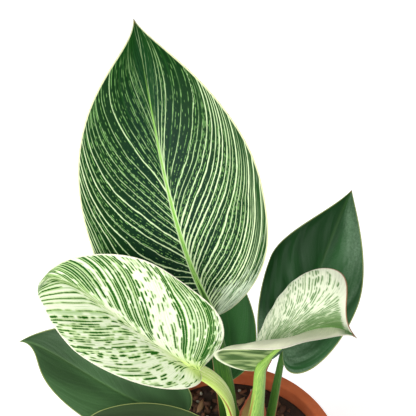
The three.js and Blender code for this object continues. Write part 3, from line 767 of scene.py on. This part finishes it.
class Finish:
    """A material under construction: it adds nodes and returns their sockets. A triple is a colour."""

    def __init__(self, name):
        self.material = bpy.data.materials.new(name)
        self.material.use_nodes = True
        self.tree = self.material.node_tree
        self.shader = next(n for n in self.tree.nodes if n.type == "BSDF_PRINCIPLED")

    def node(self, kind, settings, inputs, output=0):
        """Adds a node of this type, makes its settings and then fills or links its sockets."""
        node = self.tree.nodes.new(kind)
        for name, value in settings.items():
            setattr(node, name, value)
        for key, value in inputs.items():
            self.feed(node.inputs[key], value)
        return node.outputs[output]

    def feed(self, socket, value):
        """Links a value or a socket, or sets a plain number or colour."""
        if isinstance(value, Value):
            value = value.socket
        if isinstance(value, bpy.types.NodeSocket):
            self.tree.links.new(value, socket)
        elif isinstance(value, tuple) and len(value) == 3:
            socket.default_value = colour(*value)
        else:
            socket.default_value = value

    def math(self, operation, *values):
        """A Math node's result over numbers and values."""
        return Value(self, self.node("ShaderNodeMath", {"operation": operation}, dict(enumerate(values))))

    def field(self, name):
        """The piece's own attribute."""
        return Value(self, self.node("ShaderNodeAttribute", {"attribute_name": name}, {}, "Fac"))

    def place(self):
        """Object coordinates, in millimetres, as a vector socket."""
        spot = self.node("ShaderNodeTexCoord", {}, {}, "Object")
        return self.node("ShaderNodeVectorMath", {"operation": "SCALE"}, {0: spot, "Scale": 1 / MM})

    def height(self):
        """Height over the surface that the pot stands on, in millimetres."""
        return Value(self, self.node("ShaderNodeSeparateXYZ", {}, {0: self.place()}, 2))

    def chance(self, seed):
        """A random number from 0 to 1 for each whole seed."""
        return Value(self, self.node(
            "ShaderNodeTexWhiteNoise", {"noise_dimensions": "1D"}, {"W": seed}, "Value"))

    def noise(self, vector, scale=1.0, detail=2.0, rough=0.5):
        """Smooth noise from 0 to 1 over a vector."""
        return Value(self, self.node("ShaderNodeTexNoise", {}, {
            "Vector": vector, "Scale": scale, "Detail": detail, "Roughness": rough}))

    def drawn(self, x, y=0.0, z=0.0, detail=3.0, rough=0.5):
        """Smooth noise from 0 to 1 over up to three values."""
        return self.noise(self.node("ShaderNodeCombineXYZ", {}, {0: x, 1: y, 2: z}), 1.0, detail, rough)

    def blend(self, share, a, b):
        """The colour at this share of the way from a to b."""
        return self.node("ShaderNodeMix", {"data_type": "RGBA"}, {0: share, 6: a, 7: b}, 2)

    def coats(self, base, *coats):
        """A base colour with coats over it in turn, each a share and the colour that it blends to."""
        for share, coat in coats:
            base = self.blend(share, base, coat)
        return base

    def bump(self, height, distance, **normal):
        """A normal raised by a height from 0 to 1 times a distance in millimetres."""
        inputs = {"Height": height, "Distance": distance * MM, **normal}
        return self.node("ShaderNodeBump", {}, inputs, "Normal")

    def set(self, **sockets):
        """Sets or links the shader's own sockets, named with spaces as underscores."""
        for name, value in sockets.items():
            self.feed(self.shader.inputs[name.replace("_", " ")], value)
        return self.material


def colour(red, green, blue):
    """A colour of 0 to 255 steps as light values: c/12.92, or ((c + 0.055)/1.055)^2.4 above 0.04."""
    steps = np.array([red, green, blue]) / 255
    light = np.where(steps <= 0.04045, steps / 12.92, ((steps + 0.055) / 1.055) ** 2.4)
    return (*[float(c) for c in light], 1.0)


def leaf_fields(finish):
    """The blade's attributes, with how far out and how far along the veins a point is, and which half."""
    names = ("vein", "spread", "lateral", "reach", "inset", "along", "row", "face")
    fields = {name: finish.field(name) for name in names}
    fields["out"] = abs(fields["lateral"])
    fields["right"] = fields["lateral"].over(0)
    fields["run"] = fields["reach"] + fields["row"] * 100
    return fields


class VeinLines:
    """Lines that follow the veins, evenly but for a jitter and a slow wander, and others on each half.

    Each has a number. Away is the distance from its middle and gap that between lines, in millimetres.
    """

    def __init__(self, finish, fields, count, seed, jitter=0.5):
        self.finish, self.run = finish, fields["run"]
        wander = finish.drawn(fields["vein"] * 16, self.run * 0.1, seed, detail=2)
        place = (fields["vein"] + 0.016 * (wander - 0.5)) * count + fields["right"] * 57.5 + seed
        self.number = place.math("FLOOR")
        offset = (self.chance(0.5) - 0.5) * jitter
        self.gap = fields["spread"] / count
        self.away = abs(place.math("FRACT") - 0.5 + offset) * self.gap

    def chance(self, seed):
        """A random number from 0 to 1 for each line."""
        return self.finish.chance(self.number + seed)

    def flow(self, length, seed):
        """Noise from 0 to 1 that changes along each line about once in this many millimetres."""
        return self.finish.drawn(self.number * 7.31 + seed, self.run / length, detail=1, rough=0.6)

    def aside(self, low, high):
        """A step by the distance from the line's middle, as a share of that between lines."""
        return (self.away / self.gap).step(low, high)


def skin(finish, fields, top, under, height, shine, gloss):
    """Ends a leaf's material: the under side, satin gloss, a fine grain and the raised stripes."""
    base = finish.blend(fields["face"].step(0.25, 0.75), under, top)
    spot = finish.place()
    grain = finish.noise(spot, 3.2, 3, 0.6)
    coarse = finish.noise(spot, 0.35, 2)
    normal = finish.bump(height, 0.25, Normal=finish.bump(grain, 0.12))
    rough = shine + 0.14 * (coarse - 0.5) + 0.2 * (1 - fields["face"])
    return finish.set(Base_Color=base, Roughness=rough, Normal=normal, Specular_IOR_Level=gloss)


def striped_skin():
    """Deep green with pale lines along the veins, some bold, and rows of fine dots between them.

    A line is as wide as the noise along it says, breaks off where that is low and fades towards the tip and
    where lines crowd. The lobe right of the stalk is nearly white. The midrib is lime with green grooves.
    """
    finish = Finish("striped_leaf_skin")
    f = leaf_fields(finish)
    deep, blue, green, fresh = (8, 48, 12), (8, 44, 24), (36, 96, 28), (112, 168, 84)
    dot_green, pale, cream, dry = (136, 190, 106), (212, 232, 182), (226, 230, 184), (146, 130, 70)
    near, tip = f["row"].step(0.7, 0.15), f["row"].step(0.55, 0.95)

    lines = VeinLines(finish, f, count=38, seed=3, jitter=0.35)
    bold = lines.chance(0).step(0.3, 1.0)
    flow = 0.6 * lines.flow(9, 2) + 0.4 * lines.flow(1.8, 8)
    width = (0.11 + 0.15 * bold) * (1.05 - 0.4 * f["out"])
    width = width * (1 + 0.8 * f["right"] * near) * (2.8 * flow - 0.4)
    line = (lines.away - (width * (1 - 0.8 * tip)).least(0.28 * lines.gap)).step(0.17, -0.08)
    line = line * (flow + 0.35 * bold + 0.5 * (1 - f["row"]) - 0.17 * tip).step(0.5, 0.72)
    line = line * (bold + lines.gap.step(0.6, 1.4)).least(1) * (bold + f["vein"].step(0.95, 0.7)).least(1)
    tone = finish.blend(0.65 + 0.4 * bold + 0.4 * near - 0.2 * f["out"] ** 2 - 0.45 * tip, fresh, pale)

    rows = VeinLines(finish, f, count=114, seed=11, jitter=0.3)
    dots = (rows.flow(1.5, 5) + 0.22 * rows.chance(0.2)).step(0.6, 0.76)
    dots = dots * (rows.away - 0.06).step(0.18, 0.0) * rows.gap.step(0.3, 0.7)

    white = 1.2 * lines.flow(12, 4) + 0.8 * rows.flow(9, 4)
    white = white + 0.9 * f["row"].step(0.34, 0.06) + 0.3 * f["out"]
    white = white.step(1.52, 1.76) * f["right"] * f["out"].step(0.08, 0.4) * f["row"].step(0.5, 0.3)
    streaks = finish.drawn(f["vein"] * 70, f["run"] * 0.05, 5, rough=0.7)
    lobe = finish.blend(streaks.step(0.46, 0.62), (226, 240, 212), (72, 122, 60))

    rib_width = 1.75 * (1 - f["row"] ** 1.6) - 0.1
    ribbed = (f["reach"] - rib_width).step(0.35, -0.35) * f["row"].step(0.95, 0.8)
    rib_edge = abs(f["reach"] - rib_width).step(0.42, 0.05) * f["row"].step(0.8, 0.6)
    grooves = finish.drawn(f["reach"] * 1.6 + f["right"] * 9, f["along"] * 22, rough=0.6)
    rib = finish.blend(grooves.step(0.42, 0.66), (172, 222, 112), (104, 166, 60))

    top = finish.coats(
        blue,
        (f["out"].step(0.25, 0.8), deep),
        (0.28 * (lines.away - width).step(0.8, 0.0) + 0.06 * f["inset"].step(6, 1), green),
        (dots * (0.85 - 0.45 * tip), dot_green),
        (line, tone),
        (0.9 * white, lobe),
        (0.9 * ribbed, rib),
        (0.8 * rib_edge, pale),
        (f["inset"].step(1.0, 0.55), cream),
        (f["row"].step(0.975, 0.995), dry))
    under = finish.blend(line * 0.7, (78, 120, 72), (190, 210, 150))
    return skin(finish, f, top, under, 0.6 * line + 0.4 * lines.aside(0.0, 0.4), 0.4, 0.09)


def streaked_under(finish, f, count, seed, low, greens, margin, reach):
    """The under side of a pale leaf: streaks of two greens along the veins, and a broad pale margin."""
    streak = finish.drawn(f["vein"] * count, f["run"] * 0.08, seed)
    dark, light = greens
    return finish.coats(dark, (streak.step(low, 1 - low), light), (f["inset"].step(reach, 0.8), margin))


def pale_skin():
    """Cream with green patches along the veins, dark dashes with a green halo, and lime round the midrib.

    Amount says how much green there is at a place: slow noise, more towards the tip and in two bands of the
    right half, less in a paler band between them that is partly the leaf's own and partly painted sheen,
    and less beside the midrib and the margin. A dash lies where noise along its line and the amount come
    out high. Where lines crowd, only some are drawn, and those wider.
    """
    finish = Finish("pale_leaf_skin")
    f = leaf_fields(finish)
    right, left = f["right"], 1 - f["right"]
    f["run"] = (f["reach"] + f["along"] * 60) * (0.42 + 0.26 * right)
    cream, lime, rim = (226, 232, 208), (190, 212, 120), (230, 228, 204)
    leafy, deep = (92, 158, 30), (24, 84, 4)

    drift = finish.drawn(f["vein"] * 8, f["run"] * 0.045, 4.5, detail=2)
    clear = f["inset"].step(0.2, 1.2) * f["reach"].step(0.5, 5) * f["row"].step(0.06, 0.2)
    dense = 1.2 * abs(f["vein"] - 0.06).step(0.18, 0.1) + abs(f["vein"] - 0.48).step(0.13, 0.04)
    # Fewer dashes round vein 0.28 of the right half: a paler band, partly the leaf's own and partly painted
    # sheen.
    band = right * (dense - 0.4 * abs(f["vein"] - 0.28).step(0.08, 0.02))
    band = band + 0.35 * left * abs(f["vein"] - 0.35).step(0.45, 0.2)
    amount = 0.7 * drift - 0.4 * (1 - clear) + 0.44 * f["row"].step(0.6, 0.85) + 0.22 * band - 0.36

    patches = VeinLines(finish, f, count=24, seed=44, jitter=0.7)
    patch_width = (0.1 + 0.9 * patches.chance(0.1) ** 2).least(0.3 * patches.gap)
    patch = (1.3 * patches.flow(5, 11) + amount + 0.08 * right).step(0.66, 0.82)
    patch = patch * (patches.away - patch_width).step(0.6, -0.25)

    lines = VeinLines(finish, f, count=46, seed=4, jitter=0.6)
    much = 3 * lines.flow(2.6 + 1.2 * right, 4) + amount - 0.84 + 0.1 * right + 0.06 * patch
    ragged = 0.4 + 1.2 * lines.flow(0.45, 21)
    crowded = lines.gap.step(1.2, 0.6)
    picked = lines.chance(0.7).step(0.25, 0.6)
    width = (0.16 + (0.32 + 0.2 * right) * lines.chance(0.3)) * ragged * much.step(0.56, 0.96)
    width = width.least(lines.gap * (0.38 + 0.2 * crowded * picked)) * (1 - 0.9 * crowded * (1 - picked))
    dash = much.step(0.6, 0.7) * (lines.away - width).step(0.12, -0.12)
    halo = much.step(0.5, 0.66) * (lines.away - width).step(0.85, 0.05)
    threads = VeinLines(finish, f, count=110, seed=24)
    fine = (threads.flow(3, 4) * threads.aside(0.4, 0.1)).step(0.3, 0.8) * f["inset"].step(0.4, 2.2)
    middle = 0.75 * f["reach"].step(7, 0.5) * f["row"].step(0.5, 0.1) + 0.25 * f["reach"].step(2.2, 0.2)

    top = finish.coats(
        cream,
        (middle + 0.4 * f["row"].step(0.2, 0.02) + 0.14 * left * f["inset"].step(0.5, 4), lime),
        (0.35 * fine, leafy),
        (0.42 * patch, leafy),
        (0.6 * halo, finish.blend(0.4, leafy, lime)),
        (dash, deep),
        (f["inset"].step(0.6, 0.2), rim))
    under = streaked_under(finish, f, 30, 7, 0.35, ((112, 142, 84), (190, 206, 158)), (222, 226, 196), 2.5)
    return skin(finish, f, top, under, 0.4 * lines.aside(0.0, 0.4) * f["reach"].step(0.5, 3), 0.45, 0.12)


def folded_skin():
    """Cream with fine green streaks that fan out, and fern green beside the midrib and towards the green
    tip that is partly the leaf's own green and partly painted shade in the fold.

    The near half has fewer of them, and its upper side is whiter than the far half's cream: painted light.
    The margin is pale, with a rusty edge on the far half.
    """
    finish = Finish("folded_leaf_skin")
    f = leaf_fields(finish)
    f["run"] = f["reach"] + f["along"] * 45
    painted_light_ivory, cream, fern, thread = (240, 243, 208), (228, 234, 206), (150, 178, 120), (96, 136, 66)
    leafy, moss, tip_green = (104, 156, 60), (52, 104, 32), (60, 118, 40)
    rim, rust, dry = (232, 230, 206), (150, 104, 66), (150, 110, 70)
    far, tip = 1 - f["right"], f["row"].step(0.6, 0.92)

    drift = finish.drawn(f["vein"] * 7, f["run"] * 0.05, 9.5, detail=2)
    # Beside the midrib: denser streaks, and greyish fern green that is partly painted shade in the fold.
    beside = f["reach"].step(11, 2) * f["row"].step(0.1, 0.45)
    clear = f["inset"].step(1, 3.5) * (0.25 + 0.75 * far)
    lines = VeinLines(finish, f, count=64, seed=9, jitter=0.6)
    much = 0.8 * lines.flow(4.5, 9) + 0.4 * drift + 0.06 * beside + 0.1 * tip - 0.4 * (1 - clear)
    ragged = 0.5 + lines.flow(0.8, 21)
    width = ((0.04 + 0.16 * lines.chance(0.3)) * ragged * much.step(0.54, 0.74)).least(0.3 * lines.gap)
    dash = much.step(0.54, 0.6) * (lines.away - width).step(0.14, -0.06)
    halo = much.step(0.5, 0.66) * (lines.away - width).step(0.6, 0.0)
    threads = VeinLines(finish, f, count=120, seed=29)
    fine = (threads.flow(9, 9) * threads.aside(0.45, 0.1)).step(0.3, 0.75) * clear

    # The near half stays whiter than the far half's cream: painted light.
    top = finish.coats(
        painted_light_ivory,
        (far, cream),
        ((0.42 * beside + 0.5 * tip) * clear, fern),
        (fine * (0.3 + 0.4 * beside), thread),
        (0.4 * halo, leafy),
        (0.8 * dash, moss),
        (f["row"].step(0.86, 0.95), tip_green),
        (f["inset"].step(1.2, 0.5), rim),
        (f["inset"].step(0.5, 0.2) * far, rust),
        (f["row"].step(0.952, 0.968), dry))
    under = streaked_under(finish, f, 26, 12, 0.38, ((58, 88, 36), (146, 166, 108)), (214, 220, 186), 3)
    return skin(finish, f, top, under, 0.4 * lines.aside(0.0, 0.4) * f["reach"].step(0.5, 3), 0.45, 0.2)


def dark_skin(name, base, shine, rib=0.08, tip=(146, 98, 52), painted_side_light=0.0):
    """Plain dark green under soft clouds of painted sheen and painted shade, with a lighter midrib, a pale
    margin and a tip in its own colour.

    The last setting paints the right half lighter than the left: painted shade over the left half, and
    painted sheen in pale mottled patches on the right half and near the base.
    """
    finish = Finish(name)
    f = leaf_fields(finish)
    light = colour(*base)[:3]
    lighter = (*[min(1.0, 1.6 * c + 0.01) for c in light], 1.0)
    darker = (*[0.55 * c for c in light], 1.0)
    sheen_green, rib_green, rim = (100, 130, 100), (112, 150, 84), (150, 160, 96)
    vein = VeinLines(finish, f, count=15, seed=7).away.step(0.9, 0.0)
    # Lighter and darker clouds of painted sheen and painted shade. The broad clouds also make the leaf
    # glossier where they are lighter.
    sheen_cloud = finish.drawn(f["vein"] * 5, f["lateral"] * 3)
    broad_sheen_cloud = finish.drawn(f["vein"] * 2.2, f["lateral"] * 1.3, 3, detail=1)
    # Painted sheen: pale mottled patches on the right half and near the base, as strong as the last setting
    # asks.
    sheen_patches = finish.drawn(f["vein"] * 3, f["lateral"] * 2, 6, rough=0.6)
    bloom_and_sheen = f["lateral"].step(0.1, 0.7) * sheen_patches.step(0.38, 0.68)
    bloom_and_sheen = bloom_and_sheen + f["along"].step(0.2, 0.02) * sheen_patches.step(0.25, 0.6)
    mottle = finish.noise(finish.place(), 0.9, 3, 0.7).step(0.3, 0.7)
    # The darker coat is painted shade, in broad clouds and over the left half; the pale green patches are
    # painted sheen.
    top = finish.coats(
        base,
        (0.5 * sheen_cloud + 0.06 * vein, lighter),
        (0.75 * broad_sheen_cloud.step(0.58, 0.36) + painted_side_light * (1 - f["lateral"].step(-0.1, 0.5)), darker),
        (bloom_and_sheen.least(1) * (0.6 + 0.6 * mottle) * painted_side_light, sheen_green),
        (rib * f["reach"].step(1.3, 0.2), rib_green),
        (f["inset"].step(0.6, 0.25), rim),
        (f["row"].step(0.975, 0.99), tip))
    under = finish.blend(0.4 * vein, (86, 122, 76), (120, 150, 96))
    return skin(finish, f, top, under, 1 - 0.15 * vein, shine + 0.3 * (0.5 - broad_sheen_cloud), 0.2)


def stalk_skin(name, body, light):
    """Green with fine lengthwise streaks, lighter on one side and rust at the sheath's edges."""
    finish = Finish(name)
    height, side, upper = finish.field("height"), finish.field("edge"), finish.field("upper")
    lines = finish.drawn(side * 14, upper * 14, height * 2.5)
    specks = finish.drawn(side * 9, upper * 9, height * 26, detail=2, rough=0.6)
    tone = finish.coats(
        body,
        ((lines - 0.5) * 2.2 + 0.5 + 0.25 * side, light),
        (0.6 * specks.step(0.5, 0.66), body),
        (abs(side).step(0.965, 0.995) * height.step(0.95, 0.6), (150, 84, 44)))
    return finish.set(Base_Color=tone, Roughness=0.42 + 0.15 * lines, Normal=finish.bump(lines, 0.2),
                      Specular_IOR_Level=0.28)


def sheath_skin():
    """Papery reddish brown with olive towards its foot and fine lengthwise fibres."""
    finish = Finish("dry_sheath_skin")
    height, side = finish.field("height"), finish.field("edge")
    straw, olive, rust = (186, 160, 96), (112, 92, 38), (152, 70, 38)
    brown, fibre = (150, 76, 40), (90, 46, 26)
    fibres = finish.drawn(side * 22, height * 6)
    tone = finish.coats(
        straw,
        (height.step(0.35, 0.8), olive),
        (abs(side).step(0.72, 0.9), rust),
        (height.step(0.88, 1.0), brown),
        (0.4 * fibres, fibre))
    return finish.set(Base_Color=tone, Roughness=0.6 + 0.2 * fibres, Normal=finish.bump(fibres, 0.25))


def clay():
    """Fired clay: mottled orange brown, darker towards its foot, with a faint pale bloom."""
    finish = Finish("terracotta_clay")
    spot = finish.place()
    mottle = finish.noise(spot, 0.06, 4, 0.6)
    grain = finish.noise(spot, 1.4, 4, 0.65)
    bloom_and_sheen = finish.noise(spot, 0.11, 5, 0.7).step(0.52, 0.75)
    tone = finish.coats(
        (182, 82, 46),
        (mottle, (222, 122, 76)),
        (0.5 * grain.step(0.62, 0.8), (120, 54, 30)),
        (0.15 * bloom_and_sheen, (214, 160, 128)),
        (0.3 * finish.height().step(12, 0), (128, 74, 50)))
    return finish.set(Base_Color=tone, Roughness=0.78 + 0.15 * grain, Normal=finish.bump(grain, 0.25),
                      Specular_IOR_Level=0.2)


def earth():
    """Dark damp peat with brown fibres."""
    finish = Finish("potting_soil_bed")
    spot = finish.place()
    coarse = finish.noise(spot, 0.4, 4, 0.65)
    fine = finish.noise(spot, 2.2, 4, 0.7)
    tone = finish.coats((24, 16, 12), (coarse, (70, 48, 34)), (0.6 * fine.step(0.6, 0.75), (104, 74, 50)))
    return finish.set(Base_Color=tone, Roughness=0.92, Normal=finish.bump(fine, 0.6))


def crumb_skin():
    """Bark browns, a few tan chips and pale perlite, picked by each lump's own numbers."""
    finish = Finish("soil_crumb_skin")
    kind, shade = finish.field("kind"), finish.field("shade")
    grain = finish.noise(finish.place(), 2.5, 3, 0.6)
    tone = finish.coats(
        (44, 28, 21),
        (shade, (126, 80, 54)),
        (kind.over(CHIPS_FROM), (168, 126, 88)),
        (1 - kind.over(PERLITE_SHARE), (196, 188, 170)),
        (0.45 * grain, (40, 28, 20)))
    return finish.set(Base_Color=tone, Roughness=0.85, Normal=finish.bump(grain, 0.4))


def stem_skin():
    """Green brown, ringed with darker scars."""
    finish = Finish("stem_bark")
    mottle = finish.noise(finish.place(), 0.8, 3)
    scar = (finish.height() * 0.3).math("SINE").step(0.7, 1.0)
    tone = finish.coats((96, 108, 50), (mottle, (140, 142, 84)), (0.7 * scar, (92, 66, 40)))
    return finish.set(Base_Color=tone, Roughness=0.6, Normal=finish.bump(mottle, 0.4))


# Stage

def make_floor():
    """A plain pale floor that runs far past the view."""
    half = 6000.0
    x, y = np.meshgrid([-half, half], [-half, half])
    vertices = np.stack([x, y, 0 * x], -1).reshape(-1, 3)
    floor = make_mesh("floor", vertices, np.array([[0, 1, 3, 2]]), np.zeros((0, 3), int))
    finish = Finish("pale_floor")
    tone = finish.blend(finish.noise(finish.place(), 0.01), (246, 246, 246), (250, 250, 250))
    floor.data.materials.append(finish.set(
        Base_Color=tone, Roughness=0.9, Emission_Color=(1, 1, 1, 1), Emission_Strength=0.52))


def area_light(name, place, size, power):
    """A square soft light at a place, turned to the plant; in metres and watts."""
    lamp = bpy.data.lights.new(name, "AREA")
    lamp.shape, lamp.size, lamp.energy = "SQUARE", size, power
    holder = bpy.data.objects.new(name, lamp)
    bpy.context.scene.collection.objects.link(holder)
    holder.location = place
    holder.rotation_euler = (Vector(LIT_SPOT) - Vector(place)).to_track_quat("-Z", "Y").to_euler()


def make_lights():
    """Soft studio light: a large key above left, a smaller one overhead and an even pale surround."""
    area_light("key", (-0.95, -0.95, 1.0), 1.0, 26)
    area_light("overhead", (0.14, -0.75, 1.5), 0.9, 8)
    world = bpy.data.worlds.new("surround")
    bpy.context.scene.world = world
    world.use_nodes = True
    surround = world.node_tree.nodes["Background"]
    surround.inputs["Color"].default_value = (1, 1, 1, 1)
    surround.inputs["Strength"].default_value = 0.35


def make_camera():
    """The photograph's view, from the front and steeply above."""
    lens = bpy.data.cameras.new("camera")
    lens.sensor_width = SENSOR
    lens.lens = SENSOR * VIEW_FOCUS / PHOTO_WIDTH
    lens.clip_end = 20
    camera = bpy.data.objects.new("camera", lens)
    camera.location = VIEW_FROM
    camera.rotation_euler = (math.radians(90 - VIEW_DOWN), 0, 0)
    bpy.context.scene.collection.objects.link(camera)
    bpy.context.scene.camera = camera


# The plant

def make_plant():
    """All seven leaves with their stalks, the new leaf's sheath and the stem."""
    for leaf in LEAVES.values():
        prepare(leaf)
    skins = {
        "striped_large": striped_skin(),
        "pale_left": pale_skin(),
        "folded_right": folded_skin(),
        # This leaf gets painted shade on its left half and painted sheen on its right half.
        "dark_right": dark_skin("dark_leaf_skin_right", (20, 72, 24), 0.36, painted_side_light=0.7),
        "dark_left": dark_skin("dark_leaf_skin_left", (58, 90, 52), 0.42, rib=0.16, tip=(206, 200, 150)),
        "dark_front": dark_skin("dark_leaf_skin_front", (46, 66, 36), 0.42),
        "dark_back": dark_skin("dark_leaf_skin_back", (36, 88, 32), 0.42),
    }
    lime = stalk_skin("stalk_skin_lime", (192, 224, 96), (246, 253, 190))
    fresh = stalk_skin("stalk_skin_fresh", (66, 128, 30), (156, 190, 88))
    green = stalk_skin("stalk_skin_green", (32, 78, 20), (80, 130, 36))
    stalks = {"pale_left": lime, "folded_right": fresh}
    for name, leaf in LEAVES.items():
        make_blade(name, leaf, skins[name])
        make_stalk(name, leaf, stalks.get(name, green))
    make_sheath(sheath_skin())
    make_stem(stem_skin())


make_camera()
make_lights()
make_floor()
make_pot(clay())
make_soil(earth())
make_crumbs(crumb_skin())
make_plant()
bpy.context.scene.view_settings.view_transform = "Standard"
